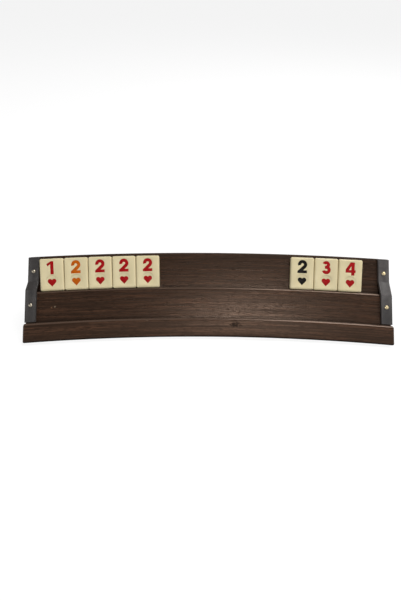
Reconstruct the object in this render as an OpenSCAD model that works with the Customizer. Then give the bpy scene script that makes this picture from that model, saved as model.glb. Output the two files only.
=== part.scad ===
// Curved two-tier tile rack of dark walnut, with leather end straps and eight loose tiles.
// +X runs along the rack, -Y faces the player, +Z is up, and the rack stands on Z = 0.
// Distances on the rack are given in slope coordinates: "up" runs up the sloping boards from the
// front board's lower edge, and "out" stands square to them, from the front board's underside.

/* [Rack] */
// Length of the rack across the two straps
rack_len = 402; // [322:10:462]
// How much the front board runs past the other boards at each end
front_overrun = 0.5; // [0:0.5:4]
// Plan radius of the upper board's top edge
curve_r = 1900; // [1400:50:4000]
// Slope of the boards above the table, in degrees
slope = 45; // [40:1:55]
// Thickness of each board
board_t = 5.5; // [5:0.5:7]
// Open height of the upper tier, along the slope
upper_face = 40; // [38:1:46]
// Open height of the lower tier, along the slope
lower_face = 34.5; // [34:0.5:44]
// Height of the front board, along the slope
front_face = 21; // [18:1:26]
// How far each board runs down behind the one in front of it
lap = 11; // [8:1:12]
// Radius of the boards' rounded edges
edge_r = 2; // [1:0.25:2.25]
// Radius of the two ledges' rounded noses
ledge_r = 3; // [1.5:0.25:3.5]

/* [Ribs and felt] */
// Thickness of each rib
rib_t = 9; // [6:1:16]
// Distance of the outer ribs from the ends of the rack
rib_inset = 50; // [45:5:110]
// Where the ribs start behind the lower board, up the slope from its lower edge
rib_toe = 1; // [0.5:0.5:4]
// How far the ribs stop short of the upper board's top edge
rib_drop = 8; // [4:1:16]
// Clearance between the step in a rib and the upper board's lower edge
rib_gap = 0.3; // [0.1:0.1:1]
// Thickness of the felt under the ribs
felt_t = 1.5; // [1:0.25:3]
// How far the felt stays inside a rib's outline
felt_inset = 1; // [0.5:0.25:2]

/* [Straps] */
// Width of each leather strap
strap_w = 11.6; // [9:0.2:16]
// Thickness of the leather
strap_t = 2.8; // [2:0.2:3.4]
// How far a strap's upper end stays below the rack's top edge
strap_top_gap = 1; // [0.5:0.25:3]
// How far a strap's lower end stays above the lower ledge
strap_foot_gap = 1.1; // [1:0.1:4]
// How far the left strap runs on flat over the upper ledge's nose before it bends down over the step
left_run = 3.7; // [0:0.1:5]
// How far the right strap does
right_run = 0; // [0:0.1:5]
// Slope of the left strap's bridge over the step, against the boards, in degrees
left_bridge = 30; // [20:1:35]
// Slope of the right strap's bridge over the step, against the boards, in degrees
right_bridge = 19; // [16:1:35]

/* [Tacks] */
// Diameter of a tack's domed head
tack_head_d = 4.6; // [3.5:0.1:6]
// Height of a tack's domed head
tack_head_h = 1.5; // [1:0.1:2]
// Diameter of a tack's shank
tack_shank_d = 1.2; // [0.8:0.1:1.6]
// Depth that a tack reaches into the wood
tack_grip = 4.2; // [3:0.2:4.6]
// Length of a tack's point
tack_point = 1.2; // [0.8:0.1:2]
// Clearance round a shank and under a head
tack_fit = 0.02; // [0.01:0.01:0.05]
// Height of the upper tacks above the upper ledge, along the slope
upper_tack_up = 23; // [21:1:34]
// Height of the lower tacks above the lower ledge, along the slope
lower_tack_up = 19.8; // [10:0.2:28]

/* [Tiles] */
// Width of a tile
tile_w = 26; // [22:0.5:28]
// Height of a tile
tile_h = 36; // [34:0.5:40]
// Thickness of a tile
tile_t = 6; // [4:0.5:7]
// Radius of a tile's rounded edges
tile_r = 1.9; // [0.6:0.1:1.9]
// Gap between neighbouring tiles
tile_gap = 0.3; // [0.2:0.1:1]
// Clearance of a tile from the ledge and from the board behind it
tile_rest = 0.1; // [0.05:0.05:0.3]
// Gap between the left strap and the first tile's upper corner
left_tiles_gap = 0.4; // [0.3:0.1:5]
// Gap between the right strap and the last tile's upper corner
right_tiles_gap = 17; // [1:0.5:24]

/* [Numerals and hearts] */
// Height of a numeral
numeral_h = 14.8; // [12:0.2:15]
// Width of a numeral
numeral_w = 10.9; // [9:0.1:11.5]
// Thickness of a numeral's strokes
numeral_stroke = 3.6; // [2.4:0.1:3.8]
// Bare margin above a numeral
numeral_margin = 3.2; // [2.5:0.1:4.5]
// Width of a heart
heart_w = 9.5; // [7:0.1:10]
// Height of a heart
heart_h = 8.6; // [7:0.1:8.8]
// Bare margin below a heart
heart_margin = 4.5; // [4:0.1:6]
// Diameter of the round dimple that the heart sits in
dimple_d = 13.6; // [12:0.1:14]
// How far the dimple's middle lies above the heart's
dimple_lift = 1.4; // [0:0.1:2]
// Depth of the dimple
dimple_depth = 0.35; // [0.2:0.05:0.5]
// Depth of the engraving
engrave_depth = 0.5; // [0.3:0.05:0.8]
// How far the colour lies below the surface
colour_drop = 0.1; // [0:0.05:0.2]

/* [Hidden] */
$fn = 96;
TILES = [
    [1, "red"], [2, "orange"], [2, "red"], [2, "red"], [2, "red"],
    [2, "black"], [3, "red"], [4, "red"]
];
LEFT_COUNT = 5;
LEFT = -1;
RIGHT = 1;

function tile_name(i) = str("tile_", i + 1);

WALNUT = [0.26, 0.19, 0.15];
LEATHER = [0.25, 0.25, 0.26];
BRASS = [0.85, 0.7, 0.38];
CREAM = [0.92, 0.87, 0.72];
FELT = [0.12, 0.12, 0.12];
INKS = [["red", [0.7, 0.06, 0.09]], ["orange", [0.82, 0.42, 0.07]], ["black", [0.07, 0.06, 0.06]]];

// Slope coordinates of the boards' edges
lower_ledge = front_face;
upper_ledge = lower_ledge + lower_face;
top_edge = upper_ledge + upper_face;
front_back = 0;
lower_back = front_back - board_t;
upper_back = lower_back - board_t;

// Where the slope coordinates' zero lies: plan radius and height
zero_r = curve_r - top_edge * cos(slope) + (upper_back + board_t) * sin(slope);
zero_z = felt_t - edge_r * (sin(slope) + cos(slope) - 1);

// Plan radius and height of a point given by its distance up the slope and out from it
function plan_r(up, out) = zero_r + up * cos(slope) - out * sin(slope);
function height(up, out) = zero_z + up * sin(slope) + out * cos(slope);

// The plan centre of the curve lies in front of the rack, so that the rack's box is centred on Y = 0
half_len = rack_len / 2;
half_front = half_len + front_overrun;
back_r = plan_r(top_edge - edge_r, upper_back + edge_r) + edge_r;
nose_r = plan_r(edge_r, board_t - edge_r) - edge_r;
nose_y = sqrt(nose_r ^ 2 - half_front ^ 2);
centre_y = -(back_r + nose_y) / 2;
sweep = 2 * asin(half_front / nose_r) + 1;

// Angle about the curve's centre at which a point stands a given distance from the middle
function angle_at(x, up, out) = asin(x / plan_r(up, out));

// Places children drawn in the plane of the slope: X along the rack, Y up the slope, Z out of it
module on_slope(angle, up, out)
    translate([0, centre_y, 0])
        rotate(-angle)
            translate([0, plan_r(up, out), height(up, out)])
                rotate([slope, 0, 0])
                    children();

// Turns children about the curve's centre
module turned(angle)
    translate([0, centre_y, 0])
        rotate(-angle)
            translate([0, -centre_y, 0])
                children();

// Sweeps a plan radius and height outline round the curve
module swept()
    translate([0, centre_y, 0])
        rotate(90 - sweep / 2)
            rotate_extrude(angle = sweep, $fn = 720)
                children();

// Draws an outline given in slope coordinates as plan radius and height
module slope_outline()
    translate([zero_r, zero_z])
        rotate(slope)
            children();

// Keeps what lies between two distances from the middle
module between(from_x, to_x)
    intersection() {
        children();
        translate([min(from_x, to_x), -half_len, 0])
            cube([abs(to_x - from_x), rack_len, half_len]);
    }

// What a rounded edge takes off a square corner, quarter 0 being the upper outer one
module rounding(at, quarter, r)
    translate(at)
        rotate(90 * quarter)
            difference() {
                translate([-r, -r])
                    square(r + 1);
                translate([-r, -r])
                    circle(r);
            }

// A board from one height up the slope to another, with some of its edges rounded
module board(foot, top, back, reach, upper_r, rounded)
    color(WALNUT)
        between(-reach, reach)
            swept()
                slope_outline()
                    difference() {
                        translate([foot, back])
                            square([top - foot, board_t]);
                        rounding([top, back + board_t], 0, upper_r);
                        for (quarter = rounded)
                            rounding(
                                [quarter == 3 ? top : foot, quarter == 1 ? back + board_t : back],
                                quarter, edge_r
                            );
                    }

module upper_plank()
    difference() {
        board(upper_ledge - lap, top_edge, upper_back, half_len, edge_r, [3]);
        for (side = [LEFT, RIGHT])
            tack_hole(side, upper_ledge + upper_tack_up, lower_back);
    }

module lower_plank()
    difference() {
        board(lower_ledge - lap, upper_ledge, lower_back, half_len, ledge_r, []);
        for (side = [LEFT, RIGHT])
            tack_hole(side, lower_ledge + lower_tack_up, front_back);
    }

module front_plank()
    board(0, lower_ledge, front_back, half_front, ledge_r, [1, 2]);

// A wedge behind the two upper boards, with a step between them and a flat foot
rib_steps = [
    [lower_ledge - lap + rib_toe, lower_back],
    [upper_ledge - lap - rib_gap, lower_back],
    [upper_ledge - lap - rib_gap, upper_back],
    [top_edge - rib_drop, upper_back]
];
rib_places = [rib_inset - half_len, 0, half_len - rib_inset];
rib_front_r = plan_r(rib_steps[0][0], lower_back);
rib_back_r = plan_r(top_edge - rib_drop, upper_back);

module rib(x)
    color(WALNUT)
        turned(angle_at(x, rib_steps[0][0], lower_back))
            between(-rib_t / 2, rib_t / 2)
                swept()
                    polygon(concat(
                        [[rib_front_r, felt_t]],
                        [for (p = rib_steps) [plan_r(p[0], p[1]), height(p[0], p[1])]],
                        [[rib_back_r, felt_t]]
                    ));

module felt_pads()
    color(FELT)
        for (x = rib_places)
            turned(angle_at(x, rib_steps[0][0], lower_back))
                translate([felt_inset - rib_t / 2, centre_y + rib_front_r + felt_inset, 0])
                    cube([rib_t - 2 * felt_inset, rib_back_r - rib_front_r - 2 * felt_inset, felt_t]);

// Points along an arc, ends included
function arc(centre, r, from, to, steps = 10) = [
    for (k = [0 : steps])
        let (a = from + (to - from) * k / steps)
            centre + r * [cos(a), sin(a)]
];

// A strap lies on both boards. At the upper ledge's nose it bends with the nose's radius and runs straight
// down to the upper board, so a gap stays open under it, and bends again as it lands
module strap_outline(run, bridge) {
    half_turn = tan(bridge / 2);
    over = [upper_ledge - ledge_r + run, front_back - ledge_r];
    landing_r = ledge_r + strap_t;
    landing = over[0] + ledge_r * half_turn + (front_back - lower_back) / tan(bridge);
    under = [landing + landing_r * half_turn, lower_back + landing_r];
    foot = lower_ledge + strap_foot_gap;
    top = top_edge - strap_top_gap;
    polygon(concat(
        [[foot, front_back + strap_t], [foot, front_back]],
        arc(over, ledge_r, 90, 90 - bridge),
        arc(under, landing_r, -90 - bridge, -90),
        [[top, lower_back], [top, lower_back + strap_t]],
        arc(under, landing_r - strap_t, -90, -90 - bridge),
        arc(over, ledge_r + strap_t, 90 - bridge, 90)
    ));
}

module strap(side, run, bridge)
    color(LEATHER)
        difference() {
            between(side * (half_len - strap_w), side * half_len)
                swept()
                    slope_outline()
                        strap_outline(run, bridge);
            tack_hole(side, upper_ledge + upper_tack_up, lower_back);
            tack_hole(side, lower_ledge + lower_tack_up, front_back);
        }

// Tacks stand square to the boards, in the middle of the strap's width
module at_tack(side, up, face)
    on_slope(angle_at(side * (half_len - strap_w / 2), up, face), up, face)
        children();

module tack_hole(side, up, face)
    at_tack(side, up, face)
        translate([0, 0, -tack_grip - tack_fit])
            cylinder(h = tack_grip + strap_t + 2 * tack_fit + 1, r = tack_shank_d / 2 + tack_fit);

module tack(side, up, face) {
    dome_r = (tack_head_d ^ 2 / 4 + tack_head_h ^ 2) / (2 * tack_head_h);
    at_tack(side, up, face) {
        translate([0, 0, strap_t + tack_fit])
            intersection() {
                cylinder(h = tack_head_h, r = tack_head_d / 2);
                translate([0, 0, tack_head_h - dome_r])
                    sphere(dome_r);
            }
        translate([0, 0, tack_point - tack_grip])
            cylinder(h = tack_grip - tack_point + strap_t + 2 * tack_fit, r = tack_shank_d / 2);
        translate([0, 0, -tack_grip])
            cylinder(h = tack_point, r1 = tack_shank_d / 8, r2 = tack_shank_d / 2);
    }
}

module tacks(side)
    color(BRASS) {
        tack(side, upper_ledge + upper_tack_up, lower_back);
        tack(side, lower_ledge + lower_tack_up, front_back);
    }

// Where the tiles stand: side by side on the upper ledge, each leaning on the board behind it
tile_up = upper_ledge + tile_rest;
tile_out = lower_back + tile_rest;
tile_step = angle_at(tile_w + tile_gap, tile_up, tile_out + tile_t);
left_start = -angle_at(half_len - strap_w - left_tiles_gap, tile_up + tile_h, tile_out);
right_end = angle_at(half_len - strap_w - right_tiles_gap, tile_up + tile_h, tile_out);

function tile_angle(i) =
    i < LEFT_COUNT
        ? left_start + (i + 0.5) * tile_step
        : right_end - (len(TILES) - i - 0.5) * tile_step;

module at_tile(i)
    on_slope(tile_angle(i), tile_up, tile_out)
        children();

module rounded_square(size, r)
    union() {
        translate([r, 0])
            square([size[0] - 2 * r, size[1]]);
        translate([0, r])
            square([size[0], size[1] - 2 * r]);
        for (x = [r, size[0] - r], y = [r, size[1] - r])
            translate([x, y])
                circle(r);
    }

// A block with every edge rounded, standing on the middle of its lower edge
module tile_block()
    intersection() {
        translate([-tile_w / 2, 0, 0])
            linear_extrude(tile_t)
                rounded_square([tile_w, tile_h], tile_r);
        translate([-tile_w / 2, tile_h, 0])
            rotate([90, 0, 0])
                linear_extrude(tile_h)
                    rounded_square([tile_w, tile_t], tile_r);
        translate([-tile_w / 2, 0, 0])
            rotate([90, 0, 90])
                linear_extrude(tile_w)
                    rounded_square([tile_h, tile_t], tile_r);
    }

module tile(i)
    color(CREAM)
        at_tile(i)
            difference() {
                tile_block();
                at_numeral()
                    engraving(tile_t - engrave_depth)
                        numeral(TILES[i][0]);
                at_heart()
                    engraving(tile_t - dimple_depth - engrave_depth)
                        heart();
                translate([0, heart_margin + heart_h / 2 + dimple_lift, tile_t - dimple_depth])
                    cylinder(h = dimple_depth + 1, r = dimple_d / 2);
            }

module engraving(floor_z)
    translate([0, 0, floor_z])
        linear_extrude(tile_t)
            children();

module colour_fill(floor_z)
    translate([0, 0, floor_z])
        linear_extrude(engrave_depth - colour_drop)
            children();

module at_numeral()
    translate([-numeral_w / 2, tile_h - numeral_margin - numeral_h, 0])
        children();

module at_heart()
    translate([0, heart_margin, 0])
        children();

module tile_numeral(i)
    color(ink(i))
        at_tile(i)
            at_numeral()
                colour_fill(tile_t - engrave_depth)
                    numeral(TILES[i][0]);

module tile_heart(i)
    color(ink(i))
        at_tile(i)
            at_heart()
                colour_fill(tile_t - dimple_depth - engrave_depth)
                    heart();

function ink(i) = INKS[search([TILES[i][1]], INKS)[0]][1];

// A heart standing on its point: two round lobes and the tangents from the point to them
module heart() {
    lobe_r = heart_w * 0.27;
    lobe = [heart_w / 2 - lobe_r, heart_h - lobe_r];
    far = norm(lobe);
    side_angle = atan2(lobe[1], lobe[0]) - asin(lobe_r / far);
    touch = sqrt(far ^ 2 - lobe_r ^ 2) * [cos(side_angle), sin(side_angle)];
    for (x = [-1, 1])
        translate([x * lobe[0], lobe[1]])
            circle(lobe_r);
    polygon([
        [0, 0], touch, lobe, [-lobe[0], lobe[1]], [-touch[0], touch[1]]
    ]);
}

module numeral(value) {
    if (value == 1) numeral_1();
    if (value == 2) numeral_2();
    if (value == 3) numeral_3();
    if (value == 4) numeral_4();
}

// The part of a ring between two angles
module arc_stroke(centre, r, from, to)
    translate(centre)
        intersection() {
            difference() {
                circle(r);
                circle(r - numeral_stroke);
            }
            polygon(concat(
                [[0, 0]],
                [for (k = [0 : 4]) 2 * r * [cos(from + k * (to - from) / 4), sin(from + k * (to - from) / 4)]]
            ));
        }

// A flag on a stem
module numeral_1() {
    stem = numeral_w * 0.3;
    flag = numeral_h * 0.2;
    polygon([
        [stem + numeral_stroke / 4, 0],
        [stem + numeral_stroke * 5 / 4, 0],
        [stem + numeral_stroke * 5 / 4, numeral_h],
        [stem + numeral_stroke / 2, numeral_h],
        [0, numeral_h - flag],
        [numeral_stroke * 0.35, numeral_h - flag - numeral_stroke * 0.75],
        [stem + numeral_stroke / 4, numeral_h - flag - numeral_stroke * 0.1]
    ]);
}

// A round top, a slanting stroke that leaves it at a tangent, and a flat foot
module numeral_2() {
    r = numeral_w * 0.47;
    hook = 195;
    foot_t = numeral_stroke * 0.92;
    centre = [numeral_w / 2, numeral_h - r];
    middle_r = r - numeral_stroke / 2;
    reach = centre - [0.62, 0.55] * numeral_stroke;
    slant = atan2(reach[1], reach[0]) - asin(middle_r / norm(reach));
    outer = centre + r * [sin(slant), -cos(slant)];
    inner = centre + (r - numeral_stroke) * [sin(slant), -cos(slant)];
    polygon(concat(
        arc(centre, r, hook, slant - 90, 24),
        [
            [outer[0] - (outer[1] - foot_t) / tan(slant), foot_t],
            [numeral_w * 0.97, foot_t],
            [numeral_w * 0.97, 0],
            [0, 0],
            [0, inner[1] - inner[0] * tan(slant)]
        ],
        arc(centre, r - numeral_stroke, slant - 90, hook, 24)
    ));
}

// Two round bowls, open to the left
module numeral_3() {
    upper_r = numeral_h * 0.285;
    lower_r = numeral_h * 0.325;
    arc_stroke([numeral_w * 0.47, numeral_h - upper_r], upper_r, -90, 160);
    arc_stroke([numeral_w * 0.49, lower_r], lower_r, -165, 90);
    translate([numeral_w * 0.33, 2 * lower_r - numeral_stroke])
        square([numeral_stroke * 0.75, numeral_stroke * 0.9]);
}

// A stem, a crossbar and a slanting stroke round an open triangle
module numeral_4() {
    bar = numeral_h * 0.2;
    stem = numeral_w * 0.56;
    difference() {
        polygon([
            [stem, 0],
            [stem + numeral_stroke, 0],
            [stem + numeral_stroke, bar],
            [numeral_w, bar],
            [numeral_w, bar + numeral_stroke * 0.85],
            [stem + numeral_stroke, bar + numeral_stroke * 0.85],
            [stem + numeral_stroke, numeral_h],
            [stem - numeral_stroke * 0.25, numeral_h],
            [0, bar + numeral_stroke],
            [0, bar],
            [stem, bar]
        ]);
        polygon([
            [stem, bar + numeral_stroke * 0.85],
            [stem, numeral_h * 0.7],
            [stem - numeral_w * 0.22, bar + numeral_stroke * 0.85]
        ]);
    }
}

upper_plank();
lower_plank();
front_plank();
rib(rib_places[0]);  // left_rib
rib(rib_places[1]);  // middle_rib
rib(rib_places[2]);  // right_rib
felt_pads();
strap(LEFT, left_run, left_bridge);  // left_strap
strap(RIGHT, right_run, right_bridge);  // right_strap
tacks(LEFT);  // left_tacks
tacks(RIGHT);  // right_tacks
for (i = [0 : len(TILES) - 1]) {
    tile(i);
    tile_numeral(i);
    tile_heart(i);
}
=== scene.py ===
# %% [markdown]
# # A curved tile rack of dark walnut
# The rack is three bent boards on three hidden ribs, with a leather strap tacked over each end and eight
# loose tiles on the upper tier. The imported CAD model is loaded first, as a fixed frame. Every piece below
# is then modelled in the same place as the CAD node that it stands for, in metres, so nothing is fitted
# by eye.

# %% Load the frame
from math import asin, cos, pi, radians, sin, sqrt, tan

import bmesh
import bpy
from mathutils import Matrix, Vector


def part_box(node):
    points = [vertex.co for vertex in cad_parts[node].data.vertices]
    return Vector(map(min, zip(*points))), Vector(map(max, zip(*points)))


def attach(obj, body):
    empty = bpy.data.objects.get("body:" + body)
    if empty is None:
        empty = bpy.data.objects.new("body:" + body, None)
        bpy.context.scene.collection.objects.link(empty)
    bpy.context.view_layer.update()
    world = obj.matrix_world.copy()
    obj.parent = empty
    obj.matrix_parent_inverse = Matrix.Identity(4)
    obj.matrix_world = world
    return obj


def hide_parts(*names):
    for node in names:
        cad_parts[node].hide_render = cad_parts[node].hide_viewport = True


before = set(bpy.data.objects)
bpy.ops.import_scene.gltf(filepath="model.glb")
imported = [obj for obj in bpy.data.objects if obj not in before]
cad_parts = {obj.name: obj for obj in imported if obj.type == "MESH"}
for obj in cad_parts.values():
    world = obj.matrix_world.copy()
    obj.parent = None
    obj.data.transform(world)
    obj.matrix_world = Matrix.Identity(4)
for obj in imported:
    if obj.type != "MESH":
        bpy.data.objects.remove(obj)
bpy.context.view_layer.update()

# %% [markdown]
# ## Sizes
# The boards slope at 45 degrees and are bent round a vertical axis far in front of the rack. That makes two
# distances handy for every point of it: "up", along the slope from the front board's lower edge, and "out",
# square to the boards. They are the same values as in the part's source.

# %% Sizes of the rack
MM = 0.001
SLOPE = radians(45)
HALF_LEN = 201 * MM
HALF_FRONT = HALF_LEN + 0.5 * MM
CURVE_R = 1900 * MM
BOARD_T = 5.5 * MM
EDGE_R = 2 * MM
LEDGE_R = 3 * MM
LAP = 11 * MM
LOWER_LEDGE = 21 * MM
UPPER_LEDGE = LOWER_LEDGE + 34.5 * MM
TOP_EDGE = UPPER_LEDGE + 40 * MM
LOWER_BACK = -BOARD_T
UPPER_BACK = -2 * BOARD_T
FELT_T = 1.5 * MM

ZERO_R = CURVE_R - TOP_EDGE * cos(SLOPE) + LOWER_BACK * sin(SLOPE)
ZERO_Z = FELT_T - EDGE_R * (sin(SLOPE) + cos(SLOPE) - 1)


def plan_r(up, out):
    return ZERO_R + up * cos(SLOPE) - out * sin(SLOPE)


def height(up, out):
    return ZERO_Z + up * sin(SLOPE) + out * cos(SLOPE)


back_r = plan_r(TOP_EDGE - EDGE_R, UPPER_BACK + EDGE_R) + EDGE_R
nose_r = plan_r(EDGE_R, BOARD_T - EDGE_R) - EDGE_R
CENTRE_Y = -(back_r + sqrt(nose_r ** 2 - HALF_FRONT ** 2)) / 2


def place(up, out, angle=0.0):
    """The point at two slope distances, at an angle round the centre of the bend."""
    r = plan_r(up, out)
    return Vector((r * sin(angle), CENTRE_Y + r * cos(angle), height(up, out)))


def slope_of(point):
    """The two slope distances of a point anywhere on the rack."""
    r = sqrt(point.x ** 2 + (point.y - CENTRE_Y) ** 2) - ZERO_R
    z = point.z - ZERO_Z
    return r * cos(SLOPE) + z * sin(SLOPE), z * cos(SLOPE) - r * sin(SLOPE)


cad_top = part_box("lower_plank")[1].z
nose_top = place(UPPER_LEDGE - LEDGE_R, -LEDGE_R).z + LEDGE_R
print("upper ledge in the CAD model:", round(cad_top, 5), "and here:", round(nose_top, 5))

# %% [markdown]
# ## Camera
# The camera goes where the rack's outlines, ledges and strap ends fit the photograph best: about 42 cm from
# the rack, looking down at 43 degrees, rolled by half a degree. The sensor's width goes with the picture's
# long side.

# %% Camera
PICTURE = (401, 601)
FOCAL_PIXELS = 363.31
SENSOR = 36.0
CAMERA_PLACE = (-0.00941, -0.30201, 0.30531)

lens = bpy.data.cameras.new("camera")
lens.sensor_width = SENSOR
lens.lens = FOCAL_PIXELS * SENSOR / max(PICTURE)
lens.clip_start = 0.01
lens.clip_end = 50
camera = bpy.data.objects.new("camera", lens)
bpy.context.scene.collection.objects.link(camera)
bpy.context.scene.camera = camera

turn, down, roll = radians(-0.089), radians(42.595), radians(0.42)
aim = Matrix.Rotation(turn, 4, "Z") @ Matrix.Rotation(pi / 2 - down, 4, "X") @ Matrix.Rotation(roll, 4, "Z")
camera.matrix_world = Matrix.Translation(CAMERA_PLACE) @ aim
print("lens:", round(lens.lens, 2), "mm")

# %% [markdown]
# ## Working in edit mode
# Operators act on all that is selected, and loading the frame leaves its nodes selected. So each piece
# starts with nothing selected, and its faces, edges or corners are then picked by where they are.

# %% Helpers for picking
MERGE = 0.002 * MM


def nothing_selected():
    if bpy.context.mode != "OBJECT":
        bpy.ops.object.mode_set(mode="OBJECT")
    bpy.ops.object.select_all(action="DESELECT")


def edit(piece):
    """Opens one piece in edit mode, with nothing else selected."""
    nothing_selected()
    piece.select_set(True)
    bpy.context.view_layer.objects.active = piece
    bpy.ops.object.mode_set(mode="EDIT")


def pick(kind, test):
    """Selects the VERT, EDGE or FACE elements that pass a test."""
    bpy.ops.mesh.select_mode(type=kind)
    bpy.ops.mesh.select_all(action="DESELECT")
    mesh = bmesh.from_edit_mesh(bpy.context.edit_object.data)
    elements = {"VERT": mesh.verts, "EDGE": mesh.edges, "FACE": mesh.faces}[kind]
    found = [e for e in elements if test(e)]
    for e in found:
        e.select_set(True)
    mesh.select_flush_mode()
    bmesh.update_edit_mesh(bpy.context.edit_object.data)
    return len(found)


def pick_all():
    bpy.ops.mesh.select_mode(type="FACE")
    bpy.ops.mesh.select_all(action="SELECT")


def at(value, target):
    """True where two lengths agree to a hundredth of a millimetre."""
    return abs(value - target) < 0.01 * MM


def all_at_x(x):
    """A test for edges and faces that lie in one plane across the rack."""
    return lambda e: all(at(v.co.x, x) for v in e.verts)


def apply_modifier(piece, kind, **settings):
    """Adds a modifier, sets it up and applies it."""
    nothing_selected()
    piece.select_set(True)
    bpy.context.view_layer.objects.active = piece
    modifier = piece.modifiers.new(kind.lower(), kind)
    for name, value in settings.items():
        setattr(modifier, name, value)
    bpy.ops.object.modifier_apply(modifier=modifier.name)


def tidy_mesh(piece, smooth_below=35):
    """Merges doubles, turns every face outwards, and shades the round parts smooth."""
    edit(piece)
    pick_all()
    bpy.ops.mesh.remove_doubles(threshold=MERGE)
    bpy.ops.mesh.normals_make_consistent(inside=False)
    bpy.ops.object.mode_set(mode="OBJECT")
    bpy.ops.object.shade_smooth_by_angle(angle=radians(smooth_below))
    mesh = bmesh.new()
    mesh.from_mesh(piece.data)
    open_edges = sum(not e.is_manifold for e in mesh.edges)
    print(piece.name, "faces:", len(mesh.faces), "open edges:", open_edges,
          "volume:", round(mesh.calc_volume() * 1e6, 2), "cm3")
    mesh.free()


print("points closer than", round(MERGE / MM, 4), "mm are merged")

# %% [markdown]
# ## Boards
# Each board is one long strip of walnut with softly rounded edges, bent sideways. It could be drawn flat and
# bent with a modifier, but the bend is a true circle, so it is simpler to spin the board's cross-section
# round the centre of that circle. Only the right half is spun: the end is cut square to the rack's length,
# its edges are eased as with sandpaper, and a mirror makes the left half.

# %% Helpers for bent pieces
SPIN_STEPS = 48
ACROSS = Matrix(((0, 0, 1), (cos(SLOPE), -sin(SLOPE), 0), (sin(SLOPE), cos(SLOPE), 0)))


def section(name, foot, top, back, thickness):
    """A flat cross-section at the middle of the rack, from one slope distance to another."""
    nothing_selected()
    bpy.ops.mesh.primitive_plane_add(
        size=1, location=place((foot + top) / 2, back + thickness / 2), rotation=ACROSS.to_euler())
    piece = bpy.context.object
    piece.name = name
    piece.scale = (top - foot, thickness, 1)
    bpy.ops.object.transform_apply(location=True, rotation=True, scale=True)
    return piece


def spin_round_bend(angle, steps):
    """Spins what is selected round the centre of the bend, to the right."""
    bpy.ops.mesh.spin(steps=steps, angle=angle, center=(0, CENTRE_Y, 0), axis=(0, 0, 1))


def cut(x, keep_right):
    """Cuts the piece square to the rack's length and closes the cut."""
    pick_all()
    bpy.ops.mesh.bisect(plane_co=(x, 0, 0), plane_no=(1, 0, 0), use_fill=True,
                        clear_inner=keep_right, clear_outer=not keep_right, threshold=1e-6)


def make_board(name, foot, top, back, reach, round_corners, end_round):
    """Half a board from its cross-section, then its mirror."""
    board = section(name, foot, top, back, BOARD_T)
    edit(board)
    for up, out, r in round_corners:
        pick("VERT", lambda v: at(slope_of(v.co)[0], up) and at(slope_of(v.co)[1], out))
        bpy.ops.mesh.bevel(offset=r, segments=10, affect="VERTICES")
    pick_all()
    spin_round_bend(asin((reach + 1 * MM) / nose_r), SPIN_STEPS)
    cut(reach, keep_right=False)
    pick("EDGE", all_at_x(reach))
    bpy.ops.mesh.bevel(offset=end_round, segments=4, affect="EDGES")
    pick("FACE", all_at_x(0))
    bpy.ops.mesh.delete(type="ONLY_FACE")
    bpy.ops.object.mode_set(mode="OBJECT")
    apply_modifier(board, "MIRROR", use_clip=True, merge_threshold=0.005 * MM)
    tidy_mesh(board)
    return board


print("each board is spun in", SPIN_STEPS, "steps")

# %% The three boards
END_ROUND = 0.8 * MM
FRONT_END_ROUND = 1.6 * MM

upper_board = make_board(
    "upper_board", UPPER_LEDGE - LAP, TOP_EDGE, UPPER_BACK, HALF_LEN,
    [(TOP_EDGE, LOWER_BACK, EDGE_R), (TOP_EDGE, UPPER_BACK, EDGE_R)], END_ROUND)
lower_board = make_board(
    "lower_board", LOWER_LEDGE - LAP, UPPER_LEDGE, LOWER_BACK, HALF_LEN,
    [(UPPER_LEDGE, 0, LEDGE_R)], END_ROUND)
front_board = make_board(
    "front_board", 0, LOWER_LEDGE, 0, HALF_FRONT,
    [(0, 0, EDGE_R), (0, BOARD_T, EDGE_R), (LOWER_LEDGE, BOARD_T, LEDGE_R)], FRONT_END_ROUND)

# %% [markdown]
# ## Ribs and felt
# Three wedge-shaped ribs carry the boards from behind, and a strip of felt under each keeps the rack from
# sliding. Their shapes are already right in the CAD model. A CAD node's mesh is left alone, so a copy of it
# is merged, its flat faces are joined up again, and its sharp edges are eased with a bevel.

# %% Copies of CAD shapes
RIB_ROUND = 0.6 * MM
FELT_ROUND = 0.4 * MM


def copy_of_node(node, name):
    """A clean copy of a CAD node's mesh: doubles merged, and flat faces made whole again."""
    piece = bpy.data.objects.new(name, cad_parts[node].data.copy())
    bpy.context.scene.collection.objects.link(piece)
    piece.data.materials.clear()
    edit(piece)
    pick_all()
    bpy.ops.mesh.remove_doubles(threshold=MERGE)
    bpy.ops.mesh.dissolve_limited(angle_limit=radians(0.1))
    bpy.ops.object.mode_set(mode="OBJECT")
    return piece


def eased_copy(node, name, width):
    """A copy of a CAD node's shape with its sharp edges eased."""
    piece = copy_of_node(node, name)
    apply_modifier(piece, "BEVEL", width=width, segments=3, limit_method="ANGLE",
                   angle_limit=radians(35), use_clamp_overlap=True)
    tidy_mesh(piece)
    return piece


ribs = [eased_copy(side + "_rib", side + "_wedge", RIB_ROUND) for side in ("left", "middle", "right")]
felt_strips = eased_copy("felt_pads", "felt_strips", FELT_ROUND)

# %% [markdown]
# ## Straps
# Each strap is one flat strip of thick leather. It lies on the lower board, bends at the ledge's round nose,
# runs down over the step in a straight bridge, and lies on the upper board. The left one runs on flat over
# the nose before it bends, the right one follows the nose closely. Leather that is bent by hand
# keeps its thickness, so the strip's side view is made first: a short quad, whose end is spun round each
# bend and extruded along each straight. That side view is then spun round the rack's own bend and cut to
# the strap's width. The spin takes one long step to reach the strap and one more across it, so that no ring
# of faces crosses the strap at a slant. A creasing iron's line runs along its edges: three insets, the
# middle one pressed in.

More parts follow.
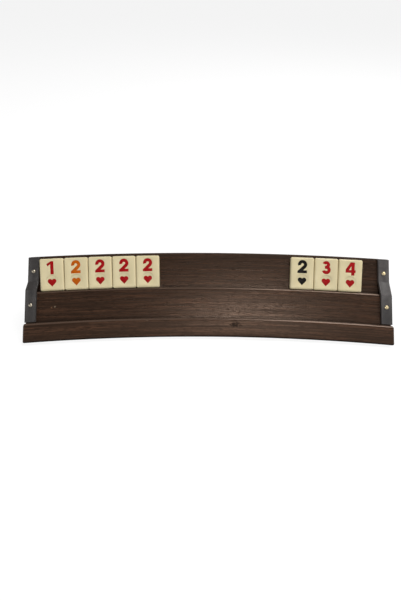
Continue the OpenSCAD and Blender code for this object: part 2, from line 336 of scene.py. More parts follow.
# %% Helpers for straps
STRAP_W = 11.6 * MM
STRAP_T = 2.8 * MM
STRAP_FOOT = LOWER_LEDGE + 1.1 * MM
STRAP_TOP = TOP_EDGE - 1 * MM
BEND_STEPS = 8
CREASE_INSET = 1.1 * MM
CREASE_W = 0.35 * MM
CREASE_DEPTH = 0.22 * MM
STRAP_EDGE_ROUND = 0.45 * MM


def slope_step(up, out):
    """A move given in slope distances, at the middle of the rack."""
    return place(up, out) - place(0, 0)


def extrude_end(step):
    """Pulls the selected end on by a step."""
    bpy.ops.mesh.extrude_region_move(TRANSFORM_OT_translate={"value": step})


def strap_side_view(name, run, bridge):
    """The strap seen from its side, at the middle of the rack, with its bridge at an angle to the boards."""
    half_turn = tan(bridge / 2)
    landing_r = LEDGE_R + STRAP_T
    flat_end = UPPER_LEDGE - LEDGE_R + run
    under = flat_end + LEDGE_R * half_turn + BOARD_T / tan(bridge)
    bridge_len = BOARD_T / sin(bridge) - (LEDGE_R + landing_r) * half_turn
    strap = section(name, STRAP_FOOT, flat_end, 0, STRAP_T)
    edit(strap)
    pick("EDGE", lambda e: all(at(slope_of(v.co)[0], flat_end) for v in e.verts))
    bpy.ops.mesh.spin(steps=BEND_STEPS, angle=bridge, axis=(1, 0, 0),
                      center=place(flat_end, -LEDGE_R))
    extrude_end(slope_step(bridge_len * cos(bridge), -bridge_len * sin(bridge)))
    landing = under + landing_r * half_turn
    bpy.ops.mesh.spin(steps=BEND_STEPS, angle=bridge, axis=(-1, 0, 0),
                      center=place(landing, LOWER_BACK + landing_r))
    extrude_end(slope_step(STRAP_TOP - landing, 0))
    return strap


def faces_out(face):
    """True for faces that look away from the boards."""
    middle = face.calc_center_median()
    radial = Vector((middle.x, middle.y - CENTRE_Y, 0)).normalized()
    outward = Vector((0, 0, cos(SLOPE))) - radial * sin(SLOPE)
    return face.normal.dot(outward) > 0.8


def make_strap(name, run, bridge):
    """A strap at the right end of the rack."""
    strap = strap_side_view(name, run, bridge)
    pick_all()
    before_strap = asin((HALF_LEN - STRAP_W - 1 * MM) / back_r)
    past_strap = asin((HALF_LEN + 1 * MM) / nose_r)
    spin_round_bend(before_strap, 1)
    spin_round_bend(past_strap - before_strap, 1)
    cut(HALF_LEN - STRAP_W, keep_right=True)
    cut(HALF_LEN, keep_right=False)
    pick_all()
    bpy.ops.mesh.normals_make_consistent(inside=False)
    pick("FACE", faces_out)
    bpy.ops.mesh.inset(thickness=CREASE_INSET)
    bpy.ops.mesh.inset(thickness=CREASE_W, depth=-CREASE_DEPTH)
    bpy.ops.mesh.inset(thickness=CREASE_W, depth=CREASE_DEPTH)
    apply_modifier(strap, "BEVEL", width=STRAP_EDGE_ROUND, segments=3, limit_method="ANGLE",
                   angle_limit=radians(60), use_clamp_overlap=True)
    return strap


def to_left_end(piece):
    """Mirrors a piece to the left end. That turns it inside out, which tidy_mesh puts right."""
    edit(piece)
    pick_all()
    bpy.ops.transform.mirror(constraint_axis=(True, False, False), center_override=(0, 0, 0))


print("a strap is", round(STRAP_W / MM, 1), "mm wide and", round(STRAP_T / MM, 1), "mm thick")

# %% The two straps
LEFT_RUN = 3.7 * MM
RIGHT_RUN = 0
LEFT_BRIDGE = radians(30)
RIGHT_BRIDGE = radians(19)

right_leather = make_strap("right_leather", RIGHT_RUN, RIGHT_BRIDGE)
left_leather = make_strap("left_leather", LEFT_RUN, LEFT_BRIDGE)
to_left_end(left_leather)
tidy_mesh(right_leather)
tidy_mesh(left_leather)

# %% [markdown]
# ## Tacks
# Each strap is held by two brass tacks: a shallow dome with a turned rim, and a shank with a point that is
# driven through the leather. The dome is the top slice of a sphere. Its flat underside is inset to the
# shank's width and extruded into the shank, so the tack is one closed skin. One tack is modelled at the
# origin and copied to its four places.

# %% One tack
HEAD_D = 4.6 * MM
HEAD_H = 1.5 * MM
SHANK_R = 0.6 * MM
SHANK_LEN = 3 * MM + STRAP_T
POINT_LEN = 1.2 * MM
RIM_H = 0.25 * MM
RIM_W = 0.12 * MM
SHANK_FILLET = 0.05 * MM


def make_tack():
    """A tack at the origin, with the underside of its head at height 0 and its point down."""
    nothing_selected()
    dome_r = ((HEAD_D / 2) ** 2 + HEAD_H ** 2) / (2 * HEAD_H)
    bpy.ops.mesh.primitive_uv_sphere_add(segments=40, ring_count=48, radius=dome_r,
                                         location=(0, 0, HEAD_H - dome_r))
    tack = bpy.context.object
    bpy.ops.object.transform_apply(location=True)
    edit(tack)
    pick_all()
    bpy.ops.mesh.bisect(plane_co=(0, 0, RIM_H), plane_no=(0, 0, 1), use_fill=True, clear_inner=True)
    pick("FACE", lambda f: f.normal.z < -0.9)
    bpy.ops.mesh.extrude_region_move(TRANSFORM_OT_translate={"value": (0, 0, -RIM_H)})
    bpy.ops.mesh.inset(thickness=RIM_W, depth=0)
    bpy.ops.mesh.inset(thickness=HEAD_D / 2 - RIM_W - SHANK_R - SHANK_FILLET)
    bpy.ops.mesh.extrude_region_move(TRANSFORM_OT_translate={"value": (0, 0, -SHANK_LEN)})
    bpy.ops.mesh.extrude_region_move(TRANSFORM_OT_translate={"value": (0, 0, -POINT_LEN)})
    bpy.ops.transform.resize(value=(0.2, 0.2, 1), center_override=(0, 0, 0))
    bpy.ops.object.mode_set(mode="OBJECT")
    apply_modifier(tack, "BEVEL", width=0.06 * MM, segments=2, limit_method="ANGLE",
                   angle_limit=radians(50), use_clamp_overlap=True)
    return tack


def on_board(x, up, out):
    """Turns what stands upright at the origin square to the boards, at a distance from the middle."""
    angle = asin(x / plan_r(up, out))
    return (Matrix.Translation((0, CENTRE_Y, 0)) @ Matrix.Rotation(-angle, 4, "Z")
            @ Matrix.Translation((0, plan_r(up, out), height(up, out))) @ Matrix.Rotation(SLOPE, 4, "X"))


def placed_copy(pattern, name, matrix):
    """A copy with its own mesh, whose place is in its mesh."""
    piece = bpy.data.objects.new(name, pattern.data.copy())
    bpy.context.scene.collection.objects.link(piece)
    piece.data.transform(matrix)
    return piece


print("a tack is", round((HEAD_H + SHANK_LEN + POINT_LEN) / MM, 1), "mm long")

# %% The four tacks
TACK_FIT = 0.02 * MM
UPPER_TACK_UP = 23 * MM
LOWER_TACK_UP = 19.8 * MM
tack_places = {"upper": (UPPER_LEDGE + UPPER_TACK_UP, LOWER_BACK), "lower": (LOWER_LEDGE + LOWER_TACK_UP, 0)}

tack_pattern = make_tack()
tacks = {}
for side, x in (("left", STRAP_W / 2 - HALF_LEN), ("right", HALF_LEN - STRAP_W / 2)):
    for tier, (up, face) in tack_places.items():
        name = side + "_" + tier + "_tack"
        seat = on_board(x, up, face) @ Matrix.Translation((0, 0, STRAP_T + TACK_FIT))
        tacks[name] = placed_copy(tack_pattern, name, seat)
        tidy_mesh(tacks[name])
bpy.data.objects.remove(tack_pattern)

# %% [markdown]
# ## Tiles
# A tile is a moulded block with softly rounded edges. Its numeral and heart are engraved and filled with
# colour, and the heart sits in a shallow round dimple. The block is a cube bevelled on every edge. The
# dimple is cut out of it with a rounded cylinder, and the heart and numeral with copies of the CAD model's
# own colour fills, made taller so that they come out of the face. A last narrow bevel softens the engraved
# edges. Each kind of face is cut once, lying on its back at the origin, and copied to where its tiles stand.
# Before that, each of its points keeps its distance from the dimple's middle, which the plastic reads.

# %% Where the tiles stand
TILE_W = 26 * MM
TILE_H = 36 * MM
TILE_T = 6 * MM
TILE_R = 1.9 * MM
TILE_GAP = 0.3 * MM
TILE_REST = 0.1 * MM
LEFT_GAP = 0.4 * MM
RIGHT_GAP = 17 * MM
tiles = [(1, "red"), (2, "orange"), (2, "red"), (2, "red"), (2, "red"), (2, "black"), (3, "red"), (4, "red")]
LEFT_COUNT = 5

tile_up = UPPER_LEDGE + TILE_REST
tile_out = LOWER_BACK + TILE_REST
tile_step = asin((TILE_W + TILE_GAP) / plan_r(tile_up, tile_out + TILE_T))
corner_r = plan_r(tile_up + TILE_H, tile_out)
left_start = -asin((HALF_LEN - STRAP_W - LEFT_GAP) / corner_r)
right_end = asin((HALF_LEN - STRAP_W - RIGHT_GAP) / corner_r)


def tile_seat(i):
    """Moves a tile from the origin to its place: X across it, Y up it, Z out of its face."""
    if i < LEFT_COUNT:
        angle = left_start + (i + 0.5) * tile_step
    else:
        angle = right_end - (len(tiles) - i - 0.5) * tile_step
    return on_board(plan_r(tile_up, tile_out) * sin(angle), tile_up, tile_out)


def colour_fill(i, part):
    """A tile's numeral or heart, brought from the CAD model to the origin."""
    node = "tile_" + str(i + 1) + "_" + part
    fill = copy_of_node(node, part)
    fill.data.transform(tile_seat(i).inverted())
    edit(fill)
    pick_all()
    bpy.ops.mesh.normals_make_consistent(inside=False)
    bpy.ops.object.mode_set(mode="OBJECT")
    return fill


first_with = {value: [v for v, colour in tiles].index(value) for value in (1, 2, 3, 4)}
numerals = {value: colour_fill(i, "numeral") for value, i in first_with.items()}
heart = colour_fill(0, "heart")
top_of_fill = max(v.co.z for v in numerals[1].data.vertices)
print("the colour lies", round((TILE_T - top_of_fill) / MM, 3), "mm below the face")

# %% The plain block and its dimple
DIMPLE_R = 6.8 * MM
DIMPLE_DEPTH = 0.35 * MM
DIMPLE_ROUND = 0.2 * MM
HEART_MARGIN = 4.5 * MM
HEART_H = 8.6 * MM
DIMPLE_LIFT = 1.4 * MM
DIMPLE_MIDDLE = HEART_MARGIN + HEART_H / 2 + DIMPLE_LIFT


def make_block():
    """A rounded block with its lower edge on the X axis."""
    nothing_selected()
    bpy.ops.mesh.primitive_cube_add(size=1, location=(0, TILE_H / 2, TILE_T / 2))
    block = bpy.context.object
    block.scale = (TILE_W, TILE_H, TILE_T)
    bpy.ops.object.transform_apply(location=True, scale=True)
    apply_modifier(block, "BEVEL", width=TILE_R, segments=7, limit_method="NONE")
    return block


def make_dimple_cutter():
    """A round cutter whose lower rim is rounded, so that the dimple's floor runs up into its wall."""
    nothing_selected()
    bpy.ops.mesh.primitive_cylinder_add(vertices=72, radius=DIMPLE_R, depth=2 * TILE_T,
                                        location=(0, DIMPLE_MIDDLE, 2 * TILE_T - DIMPLE_DEPTH))
    cutter = bpy.context.object
    bpy.ops.object.transform_apply(location=True)
    edit(cutter)
    pick("EDGE", lambda e: all(at(v.co.z, TILE_T - DIMPLE_DEPTH) for v in e.verts))
    bpy.ops.mesh.bevel(offset=DIMPLE_ROUND, segments=3, affect="EDGES")
    bpy.ops.object.mode_set(mode="OBJECT")
    return cutter


def engrave(piece, cutter):
    """Cuts one closed shape out of another."""
    apply_modifier(piece, "BOOLEAN", operation="DIFFERENCE", solver="EXACT", object=cutter)


def tall_copy(fill):
    """A copy of a colour fill that reaches out of the tile's face, to cut with."""
    cutter = placed_copy(fill, "cutter", Matrix.Identity(4))
    top = max(v.co.z for v in cutter.data.vertices)
    edit(cutter)
    pick("VERT", lambda v: at(v.co.z, top))
    bpy.ops.transform.translate(value=(0, 0, TILE_T))
    bpy.ops.object.mode_set(mode="OBJECT")
    return cutter


blank = make_block()
dimple = make_dimple_cutter()
engrave(blank, dimple)
heart_cutter = tall_copy(heart)
engrave(blank, heart_cutter)
for used in (dimple, heart_cutter):
    bpy.data.objects.remove(used)
print("blank tile faces:", len(blank.data.polygons))

# %% The four kinds of face
ENGRAVED_ROUND = 0.1 * MM
FILL_ROUND = 0.06 * MM

engraved = {}
for value, numeral in numerals.items():
    engraved[value] = placed_copy(blank, "engraved_" + str(value), Matrix.Identity(4))
    numeral_cutter = tall_copy(numeral)
    engrave(engraved[value], numeral_cutter)
    bpy.data.objects.remove(numeral_cutter)
    apply_modifier(engraved[value], "BEVEL", width=ENGRAVED_ROUND, segments=2, limit_method="ANGLE",
                   angle_limit=radians(55), use_clamp_overlap=True)
for fill in (*numerals.values(), heart):
    apply_modifier(fill, "BEVEL", width=FILL_ROUND, segments=2, limit_method="ANGLE",
                   angle_limit=radians(55), use_clamp_overlap=True)
print("faces of the engraved tiles:", {value: len(piece.data.polygons) for value, piece in engraved.items()})

# %% Remember where each point lies on its tile
DIMPLE_PLACE = "dimple_place"


def keep_place(piece):
    """Stores each point's place on the tile, from the dimple's middle, for the painted shade along the
    dimple's rim.
    """
    spots = piece.data.attributes.new(DIMPLE_PLACE, "FLOAT_VECTOR", "POINT")
    for vertex, spot in zip(piece.data.vertices, spots.data):
        spot.vector = vertex.co - Vector((0, DIMPLE_MIDDLE, TILE_T))


for piece in engraved.values():
    keep_place(piece)
print("points with a place on their tile:", sum(len(piece.data.vertices) for piece in engraved.values()))

# %% The eight tiles
tile_pieces = []
for i, (value, colour) in enumerate(tiles):
    number = str(i + 1)
    block = placed_copy(engraved[value], "tile_block_" + number, tile_seat(i))
    numeral = placed_copy(numerals[value], "numeral_colour_" + number, tile_seat(i))
    its_heart = placed_copy(heart, "heart_colour_" + number, tile_seat(i))
    for piece in (block, numeral, its_heart):
        tidy_mesh(piece)
    tile_pieces.append((block, numeral, its_heart, colour))
for pattern in (blank, heart, *engraved.values(), *numerals.values()):
    bpy.data.objects.remove(pattern)

# %% [markdown]
# ## Materials
# Every finish is made of shader nodes alone, and reads Object coordinates, so that a pattern is as large on
# one piece as on another and stays on the piece when it moves. Small helpers keep the node trees readable:
# they add a node with its inputs, a sum or another step of arithmetic, a colour ramp, a mix and a bump.

# %% Helpers for materials
def new_material(name, **numbers):
    """A material with one Principled shader, whose plain numbers are set on its own sockets."""
    material = bpy.data.materials.new(name)
    material.use_nodes = True
    tree = material.node_tree
    shader = tree.nodes["Principled BSDF"]
    for socket, value in numbers.items():
        shader.inputs[socket.replace("_", " ")].default_value = value
    return material, tree, shader


def add(tree, kind, inputs=None, **settings):
    """A node with its settings, and with a value or a link for each input."""
    node = tree.nodes.new("ShaderNode" + kind)
    for name, value in settings.items():
        setattr(node, name, value)
    for name, value in (inputs or {}).items():
        if isinstance(value, bpy.types.NodeSocket):
            tree.links.new(value, node.inputs[name])
        else:
            node.inputs[name].default_value = value
    return node


def calculate(tree, operation, *values):
    """The result of a Math node."""
    return add(tree, "Math", dict(enumerate(values)), operation=operation).outputs[0]


def ramp(tree, value, *stops):
    """A colour ramp from (place, colour) stops. A plain number stands for a grey."""
    node = add(tree, "ValToRGB", {"Fac": value})
    elements = node.color_ramp.elements
    while len(elements) < len(stops):
        elements.new(0.5)
    for element, (place_on_ramp, colour) in zip(elements, stops):
        element.position = place_on_ramp
        element.color = (colour,) * 3 + (1,) if isinstance(colour, (int, float)) else (*colour, 1)
    return node.outputs["Color"]


def mix(tree, factor, first, second):
    """Two colours mixed. Inputs 6 and 7 are the colour sockets of the Mix node."""
    node = add(tree, "Mix", {0: factor}, data_type="RGBA")
    for socket, colour in ((6, first), (7, second)):
        if isinstance(colour, bpy.types.NodeSocket):
            tree.links.new(colour, node.inputs[socket])
        else:
            node.inputs[socket].default_value = (*colour, 1)
    return node.outputs[2]


def bump(tree, shader, height_value, distance, strength):
    node = add(tree, "Bump", {"Height": height_value, "Distance": distance, "Strength": strength})
    tree.links.new(node.outputs["Normal"], shader.inputs["Normal"])


def object_place(tree):
    return add(tree, "TexCoord").outputs["Object"]


def coordinate(tree, place, axis):
    """One coordinate of a place."""
    return add(tree, "SeparateXYZ", {"Vector": place}).outputs[axis]


def distance_from_zero(tree, place):
    """How far a place lies from the origin."""
    return add(tree, "VectorMath", {0: place}, operation="LENGTH").outputs["Value"]


def even_noise(tree, scale, detail):
    """Noise with no direction, on the object's own coordinates."""
    return add(tree, "TexNoise", {"Vector": object_place(tree), "Scale": scale,
                                  "Detail": detail}).outputs["Fac"]


def shade(colour, factor):
    """A colour made darker or lighter."""
    return tuple(c * factor for c in colour)


print("white at half its brightness:", shade((1, 1, 1), 0.5))

# %% [markdown]
# ### Walnut
# The boards are dark walnut with a satin oil finish. Its grain is a bundle of long fibres, so the pattern is
# noise that is stretched along the board and fine across it. On a bent board the grain follows the bend:
# the position is first turned into a distance along the bend, a distance from its centre and a height. Five
# layers lie on each other: broad bands, reddish and dark streaks, fine lines, flecks, and short open pores,
# which are also pressed in by a bump. Where a face looks along the board its end grain is darker. A ledge's
# rounded nose is polished by hands and tiles, so it draws the light overhead into a thin line; its colour is
# paler, partly from wear and partly as a painted highlight. The upper board's top edge has painted shade in
# its colour instead. The rounded edges and faces that look sideways, down or back are dull and have painted
# shade in their colour, and painted shade darkens the strip just above each ledge, along the front board's
# foot and along the ribs' feet. Two boards have small flaws: a knot and a few specks.

# %% Walnut
def bend_place(tree):
    """The position as distances along the bend, from its centre and up."""
    where = add(tree, "Mapping", {"Vector": object_place(tree), "Location": (0, -CENTRE_Y, 0)})
    parts = add(tree, "SeparateXYZ", {"Vector": where.outputs["Vector"]}).outputs
    along = calculate(tree, "MULTIPLY", calculate(tree, "ARCTAN2", parts["X"], parts["Y"]), CURVE_R)
    flat = add(tree, "CombineXYZ", {"X": parts["X"], "Y": parts["Y"]}).outputs[0]
    radial = distance_from_zero(tree, flat)
    return add(tree, "CombineXYZ", {"X": along, "Y": radial, "Z": parts["Z"]}).outputs[0]


def fibre_noise(tree, where, length, width, detail=3.0, roughness=0.55):
    """Noise whose spots are a length along the board and a width across it, in metres."""
    scaled = add(tree, "Mapping", {"Vector": where, "Scale": (1 / length, 1 / width, 1 / width)})
    noise = add(tree, "TexNoise", {"Vector": scaled.outputs["Vector"], "Scale": 1.0, "Detail": detail,
                                   "Roughness": roughness})
    return noise.outputs["Fac"]


def flaw(tree, bent, along, tall, length, width):
    """The ragged marks of a flaw, 1 where they are and 0 elsewhere."""
    ragged = fibre_noise(tree, bent, 3 * MM, 1.4 * MM, 2.0)
    offsets = []
    for axis, middle, size in (("X", along, length), ("Z", tall, width)):
        offset = calculate(tree, "SUBTRACT", coordinate(tree, bent, axis), middle)
        offsets.append(calculate(tree, "MULTIPLY", offset, 2 / size))
    spot = add(tree, "CombineXYZ", {"X": offsets[0], "Y": offsets[1]}).outputs[0]
    faded = calculate(tree, "MULTIPLY_ADD", distance_from_zero(tree, spot), 0.25, ragged)
    return ramp(tree, faded, (0.64, 1), (0.72, 0))


WALNUT = (0.051, 0.0258, 0.0155)
RED_WALNUT = (0.078, 0.037, 0.021)
# A ledge nose's paler colour: partly wear, partly painted highlight.
WORN_AND_HIGHLIT_WALNUT = (0.085, 0.055, 0.040)
CREASE_SHADE_REACH = 2.2 * MM
POLISHED = 0.15
DULL = 0.7


def walnut(name, shift, tone, polish, up_facing, edge_roughness, crease=0.0, flaws=()):
    """Walnut for one board: its pattern's shift, its tone and roughness, its upper edge's colour, which
    paints a highlight on the lower boards and shade on the upper one, and that edge's roughness, the height
    of its painted shade along a crease, and its flaws as (colour, along, height, length, width)."""
    wood = shade(WALNUT, tone)
    material, tree, shader = new_material(name, IOR=1.45, Specular_IOR_Level=0.5,
                                          Specular_Tint=(1.0, 0.71, 0.54, 1))
    bent = bend_place(tree)
    where = add(tree, "Mapping", {"Vector": bent, "Location": shift}).outputs["Vector"]
    bands = fibre_noise(tree, where, 160 * MM, 9 * MM, 2.0)
    streaks = fibre_noise(tree, where, 90 * MM, 2 * MM, 4.0, 0.65)
    lines = fibre_noise(tree, where, 120 * MM, 1 * MM)
    flecks = fibre_noise(tree, where, 10 * MM, 0.9 * MM, 2.0, 0.7)
    pores = fibre_noise(tree, where, 6 * MM, 0.45 * MM, 1.0)
    base = mix(tree, ramp(tree, bands, (0.35, 0), (0.65, 1)), shade(wood, 0.8), shade(wood, 1.15))
    reddish = mix(tree, ramp(tree, streaks, (0.48, 0), (0.64, 1)), base, shade(RED_WALNUT, tone))
    streaked = mix(tree, ramp(tree, streaks, (0.36, 0.95), (0.52, 0)), reddish, shade(wood, 0.35))
    lined = mix(tree, ramp(tree, lines, (0.38, 0.95), (0.56, 0)), streaked, shade(wood, 0.3))
    flecked = mix(tree, ramp(tree, flecks, (0.52, 0), (0.62, 0.9)), lined, shade(wood, 0.25))
    pored = mix(tree, ramp(tree, pores, (0.58, 0), (0.68, 0.9)), flecked, shade(wood, 0.25))
    satin = ramp(tree, lines, (0.36, polish + 0.08), (0.60, polish - 0.04))
    for colour, *spot in flaws:
        marks = flaw(tree, bent, *spot)
        pored = mix(tree, marks, pored, colour)
        satin = mix(tree, marks, satin, (DULL,) * 3)
    # Painted shade: low on the board, in the crease above a ledge and at a board's foot, the colour is
    # darkened.
    above = calculate(tree, "SUBTRACT", coordinate(tree, bent, "Z"), crease)
    depth = calculate(tree, "MULTIPLY", above, 1 / CREASE_SHADE_REACH)
    creased = mix(tree, ramp(tree, depth, (0.4, 0.8), (1.0, 0)), pored, shade(wood, 0.2))
    facing = add(tree, "SeparateXYZ", {"Vector": add(tree, "TexCoord").outputs["Normal"]}).outputs
    sideways = calculate(tree, "ABSOLUTE", facing["X"])
    ended = mix(tree, ramp(tree, sideways, (0.6, 0), (0.9, 0.6)), creased, shade(wood, 0.35))
    # Upward-facing rounded edges take the given colour: on the lower and front boards a paler colour that is
    # partly wear and partly painted highlight, on the upper board's top edge painted shade.
    edge_light_and_shade = mix(tree, ramp(tree, facing["Z"], (0.80, 0), (0.92, 0.85)), ended, up_facing)
    # Painted shade: faces and rounded edges that look sideways, down or back are darkened.
    painted_shade = mix(tree, ramp(tree, facing["Z"], (0.45, 1), (0.68, 0)), edge_light_and_shade, shade(wood, 0.08))
    tree.links.new(painted_shade, shader.inputs["Base Color"])
    upper_edge = ramp(tree, facing["Z"], (0.73, 0), (0.79, 1))
    edge = mix(tree, upper_edge, satin, (edge_roughness,) * 3)
    dull = ramp(tree, facing["Z"], (0.35, 0.9), (0.66, 0))
    tree.links.new(calculate(tree, "MAXIMUM", edge, dull), shader.inputs["Roughness"])
    relief = mix(tree, 0.4, ramp(tree, pores, (0.58, 1), (0.70, 0)), lines)
    bump(tree, shader, relief, 0.07 * MM, 0.6)
    return material


KNOT = (shade(WALNUT, 0.15), 30.4 * MM, 14.2 * MM, 12 * MM, 4 * MM)
SPECKS = (
    ((0.16, 0.12, 0.08), -174.3 * MM, 27.1 * MM, 1.6 * MM, 1.4 * MM),
    ((0.12, 0.06, 0.03), -178.0 * MM, 26.8 * MM, 1.6 * MM, 1.4 * MM),
)
# The front board's painted shade along its foot is measured from this height.
FOOT_SHADE_HEIGHT = 0.8 * MM
# The upper board's top edge gets painted shade; the noses of the other two boards get a paler colour that is
# partly painted highlight.
upper_walnut = walnut("upper_walnut", (0, 0, 0), 0.78, 0.29, shade(WALNUT, 0.3), DULL,
                      height(UPPER_LEDGE, LOWER_BACK))
lower_walnut = walnut("lower_walnut", (0.7, 0, 0.31), 1.0, 0.28, WORN_AND_HIGHLIT_WALNUT, POLISHED,
                      height(LOWER_LEDGE, 0), SPECKS)
front_walnut = walnut("front_walnut", (1.9, 0, 0.53), 1.12, 0.34, WORN_AND_HIGHLIT_WALNUT, POLISHED,
                      FOOT_SHADE_HEIGHT, (KNOT,))
rib_walnut = walnut("rib_walnut", (3.1, 0, 0.87), 1.0, 0.4, WALNUT, DULL)
print("walnut nodes:", len(upper_walnut.node_tree.nodes))

# %% [markdown]
# ### Leather
# The straps are smooth vegetable-tanned leather, dyed a cool dark grey. Its grain is made of tiny cells with
# creases between them, which a Voronoi pattern gives; larger noise varies the dye and the polish. The upper
# half of the right strap has painted light: its dye is made lighter there, so each strap has its own copy of
# the finish.

# %% Leather
DEEP_DYE = (0.032, 0.0285, 0.0275)
PALE_DYE = (0.050, 0.0445, 0.0425)
PAINTED_LIGHT_FROM = (0.030, 0)
PAINTED_LIGHT_TO = (0.038, 1)
CREASE_DYE = (0.013, 0.0115, 0.011)


def leather(name, light_factor):
    """Leather for one strap, whose upper half has painted light: so many times its dye's brightness."""
    material, tree, shader = new_material(name, IOR=1.5, Specular_IOR_Level=0.45)
    cells = add(tree, "TexVoronoi", {"Vector": object_place(tree), "Scale": 1600.0, "Randomness": 1.0},
                feature="DISTANCE_TO_EDGE").outputs["Distance"]
    blotches = even_noise(tree, 160.0, 4.0)
    # The second copy of the dye is lighter, and it is used above a height: painted light on the strap's
    # upper half.
    unlit_dye, faded = [ramp(tree, blotches, (0.3, shade(DEEP_DYE, factor)), (0.7, shade(PALE_DYE, factor)))
                    for factor in (1, light_factor)]
    tall = coordinate(tree, object_place(tree), "Z")
    dye = mix(tree, ramp(tree, tall, PAINTED_LIGHT_FROM, PAINTED_LIGHT_TO), unlit_dye, faded)
    creased = mix(tree, ramp(tree, cells, (0.0, 0.35), (0.12, 0)), dye, CREASE_DYE)
    tree.links.new(creased, shader.inputs["Base Color"])
    tree.links.new(ramp(tree, blotches, (0.3, 0.42), (0.7, 0.34)), shader.inputs["Roughness"])
    bump(tree, shader, ramp(tree, cells, (0.0, 0), (0.2, 1)), 0.03 * MM, 0.5)
    return material


dark_leather = leather("dark_leather", 1.0)
# The right strap gets painted light on its upper half.
lit_leather = leather("lit_leather", 1.7)
print("leather nodes:", len(dark_leather.node_tree.nodes))

# %% [markdown]
# ### Brass, felt, tile and colours
# The tacks are polished brass that has dulled a little in places, with painted shade that darkens it towards
# the left end. The felt is a mat of dark fibres. A tile is moulded from a cream plastic with faint clouds in
# it.
# Painted shade darkens the upper rim of its dimple, and its engravings are filled with a lacquer.

# %% Brass and felt
BRIGHT_BRASS = (0.84, 0.71, 0.43)
DARK_BRASS = (0.60, 0.48, 0.27)
SHADED_BRASS = (0.42, 0.37, 0.29)


def brass(name):
    """Brass with tarnish in spots, and painted shade that darkens it towards the left end."""
    material, tree, shader = new_material(name, Metallic=1.0)
    tarnish = even_noise(tree, 700.0, 3.0)
    bright = ramp(tree, tarnish, (0.35, BRIGHT_BRASS), (0.7, DARK_BRASS))
    side = coordinate(tree, object_place(tree), "X")
    # Painted shade: the brass is darker towards the left end.
    left_shaded = mix(tree, ramp(tree, side, (0.0, 1), (0.1, 0)), bright, SHADED_BRASS)
    tree.links.new(left_shaded, shader.inputs["Base Color"])
    tree.links.new(ramp(tree, tarnish, (0.3, 0.22), (0.7, 0.42)), shader.inputs["Roughness"])
    return material


def felt(name):
    """Nearly black felt with a soft sheen."""
    material, tree, shader = new_material(name, Roughness=0.95, Sheen_Weight=0.4, Sheen_Roughness=0.6)
    fuzz = even_noise(tree, 2500.0, 5.0)
    tree.links.new(ramp(tree, fuzz, (0.35, 0.012), (0.7, 0.035)), shader.inputs["Base Color"])
    bump(tree, shader, fuzz, 0.2 * MM, 0.7)
    return material


polished_brass = brass("polished_brass")
dark_felt = felt("dark_felt")
print("brass nodes:", len(polished_brass.node_tree.nodes), "felt nodes:", len(dark_felt.node_tree.nodes))

# %% Tile and its colours
DEEP_CREAM = (0.63, 0.54, 0.325)
PALE_CREAM = (0.70, 0.605, 0.375)
SPECK = (0.55, 0.47, 0.28)
RIM_SHADE = (0.33, 0.31, 0.19)
RIM_SHADE_DEPTH = 1 * MM


def tile_plastic(name):
    """Cream plastic with faint clouds and specks, and painted shade along the dimple's upper rim."""
    material, tree, shader = new_material(name, IOR=1.5, Specular_IOR_Level=0.3)
    clouds = even_noise(tree, 55.0, 4.0)
    specks = even_noise(tree, 900.0, 2.0)
    cream = ramp(tree, clouds, (0.3, DEEP_CREAM), (0.7, PALE_CREAM))
    speckled = mix(tree, ramp(tree, specks, (0.6, 0), (0.75, 0.25)), cream, SPECK)
    # Painted shade along the upper rim of the dimple, near the face.
    spot = add(tree, "Attribute", attribute_name=DIMPLE_PLACE).outputs["Vector"]
    across = add(tree, "Mapping", {"Vector": spot, "Scale": (1 / DIMPLE_R, 1 / DIMPLE_R, 0)}).outputs[0]
    rim = ramp(tree, distance_from_zero(tree, across), (0.84, 0), (0.92, 1), (0.99, 0.8), (1.0, 0))
    upper = ramp(tree, coordinate(tree, across, "Y"), (0.0, 0), (0.7, 0.9))
    near_face = calculate(tree, "ADD", coordinate(tree, spot, "Z"), RIM_SHADE_DEPTH)
    front = ramp(tree, near_face, (0.0, 0), (0.0004, 1))
    painted_rim_shade = calculate(tree, "MULTIPLY", calculate(tree, "MULTIPLY", rim, upper), front)
    tree.links.new(mix(tree, painted_rim_shade, speckled, RIM_SHADE), shader.inputs["Base Color"])
    tree.links.new(ramp(tree, clouds, (0.3, 0.4), (0.7, 0.3)), shader.inputs["Roughness"])
    bump(tree, shader, specks, 0.01 * MM, 0.4)
    return material


def lacquer(name, colour):
    """Lacquer that lies a little unevenly in its engraving."""
    material, tree, shader = new_material(name, IOR=1.5, Specular_IOR_Level=0.12)
    uneven = even_noise(tree, 420.0, 3.0)
    tree.links.new(ramp(tree, uneven, (0.3, shade(colour, 0.8)), (0.7, colour)), shader.inputs["Base Color"])
    tree.links.new(ramp(tree, uneven, (0.3, 0.3), (0.7, 0.42)), shader.inputs["Roughness"])
    bump(tree, shader, uneven, 0.02 * MM, 0.4)
    return material


cream_plastic = tile_plastic("cream_plastic")
lacquers = {
    "red": lacquer("red_lacquer", (0.36, 0.004, 0.006)),
    "orange": lacquer("orange_lacquer", (0.52, 0.105, 0.003)),
    "black": lacquer("black_lacquer", (0.008, 0.006, 0.005)),
}
print("materials:", len(bpy.data.materials))

# %% [markdown]
# ## Putting the pieces on their bodies
# Each piece rides on the CAD body that it belongs to and gets its finish, and the CAD node that it stands
# for is hidden. The rack is one body and each tile is one, because a tile is lifted off by itself.

# %% Finish each piece
def settle(piece, material, body, node):
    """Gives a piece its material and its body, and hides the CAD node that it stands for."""
    piece.data.materials.clear()
    piece.data.materials.append(material)
    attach(piece, body)
    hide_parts(node)


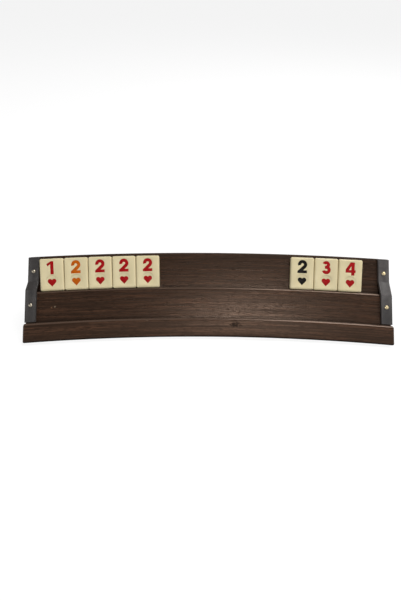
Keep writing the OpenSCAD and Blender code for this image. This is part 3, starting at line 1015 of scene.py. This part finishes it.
settle(upper_board, upper_walnut, "rack", "upper_plank")
settle(lower_board, lower_walnut, "rack", "lower_plank")
settle(front_board, front_walnut, "rack", "front_plank")
for rib, side in zip(ribs, ("left", "middle", "right")):
    settle(rib, rib_walnut, "rack", side + "_rib")
settle(felt_strips, dark_felt, "rack", "felt_pads")
settle(left_leather, dark_leather, "rack", "left_strap")
settle(right_leather, lit_leather, "rack", "right_strap")
for name, tack in tacks.items():
    settle(tack, polished_brass, "rack", name.split("_")[0] + "_tacks")
for i, (block, numeral, its_heart, colour) in enumerate(tile_pieces):
    body = "tile_" + str(i + 1)
    settle(block, cream_plastic, body, body)
    settle(numeral, lacquers[colour], body, body + "_numeral")
    settle(its_heart, lacquers[colour], body, body + "_heart")

# %% [markdown]
# ## Floor and light
# The rack stands on a plain white floor. Its own colour is lit like everything else, so it takes the rack's
# shadow; a glow that the camera sees, and reflections see dimly, brings it up to white. A small wide lamp
# above the camera gives the boards their sheen, a large one overhead and to the right draws the bright lines
# along the rounded ledges, and one at each side fills the rest. The sky lights the rack from near the
# horizon, is dim above, and is white to the camera.

# %% Floor
FLOOR_SIZE = 14.0
FLOOR_GREY = 0.2
GLOW_SEEN = 0.86
GLOW_MIRRORED = 0.4


def make_floor():
    """A plain floor that glows for the camera, and less for reflections."""
    nothing_selected()
    bpy.ops.mesh.primitive_plane_add(size=FLOOR_SIZE, location=(0, 0, 0))
    floor = bpy.context.object
    floor.name = "floor"
    material, tree, shader = new_material("paper", Roughness=1.0, IOR=1.0)
    shader.inputs["Base Color"].default_value = (FLOOR_GREY, FLOOR_GREY, FLOOR_GREY, 1)
    shader.inputs["Emission Color"].default_value = (1, 1, 1, 1)
    rays = add(tree, "LightPath").outputs
    mirrored = calculate(tree, "MAXIMUM", rays["Is Glossy Ray"], rays["Is Transmission Ray"])
    dim = calculate(tree, "MULTIPLY", mirrored, GLOW_MIRRORED)
    seen = calculate(tree, "MAXIMUM", rays["Is Camera Ray"], dim)
    tree.links.new(calculate(tree, "MULTIPLY", seen, GLOW_SEEN), shader.inputs["Emission Strength"])
    floor.data.materials.append(material)


make_floor()
print("floor:", FLOOR_SIZE, "m wide")

# %% Sky
HORIZON = 1.5
ZENITH = 0.12


def make_sky():
    """A soft sky that is brightest near the horizon, and plain white to the camera."""
    world = bpy.data.worlds.new("studio")
    world.use_nodes = True
    bpy.context.scene.world = world
    tree = world.node_tree
    up = coordinate(tree, add(tree, "TexCoord").outputs["Generated"], "Z")
    fade = ramp(tree, up, (0.1, HORIZON), (0.35, ZENITH))
    seen = add(tree, "LightPath").outputs["Is Camera Ray"]
    tree.links.new(mix(tree, seen, fade, (1, 1, 1)), tree.nodes["Background"].inputs["Color"])


make_sky()
print("sky at the horizon:", HORIZON, "and overhead:", ZENITH)

# %% Lamps
def soft_lamp(name, location, width, depth, watts):
    """A lamp panel that shines at the rack."""
    data = bpy.data.lights.new(name, "AREA")
    data.shape = "RECTANGLE"
    data.size = width
    data.size_y = depth
    data.energy = watts
    lamp = bpy.data.objects.new(name, data)
    bpy.context.scene.collection.objects.link(lamp)
    lamp.matrix_world = (Matrix.Translation(location)
                         @ (-Vector(location)).to_track_quat("-Z", "Y").to_matrix().to_4x4())


soft_lamp("sheen_lamp", (0.17, -1.02, 1.08), 0.32, 0.08, 2.8)
soft_lamp("edge_lamp", (0.60, 0.45, 1.45), 0.8, 0.9, 21.0)
for side, name in ((-1, "left_fill"), (1, "right_fill")):
    soft_lamp(name, (side * 1.3, -0.6, 0.8), 0.8, 0.8, 4.8)
bpy.context.scene.view_settings.view_transform = "Standard"
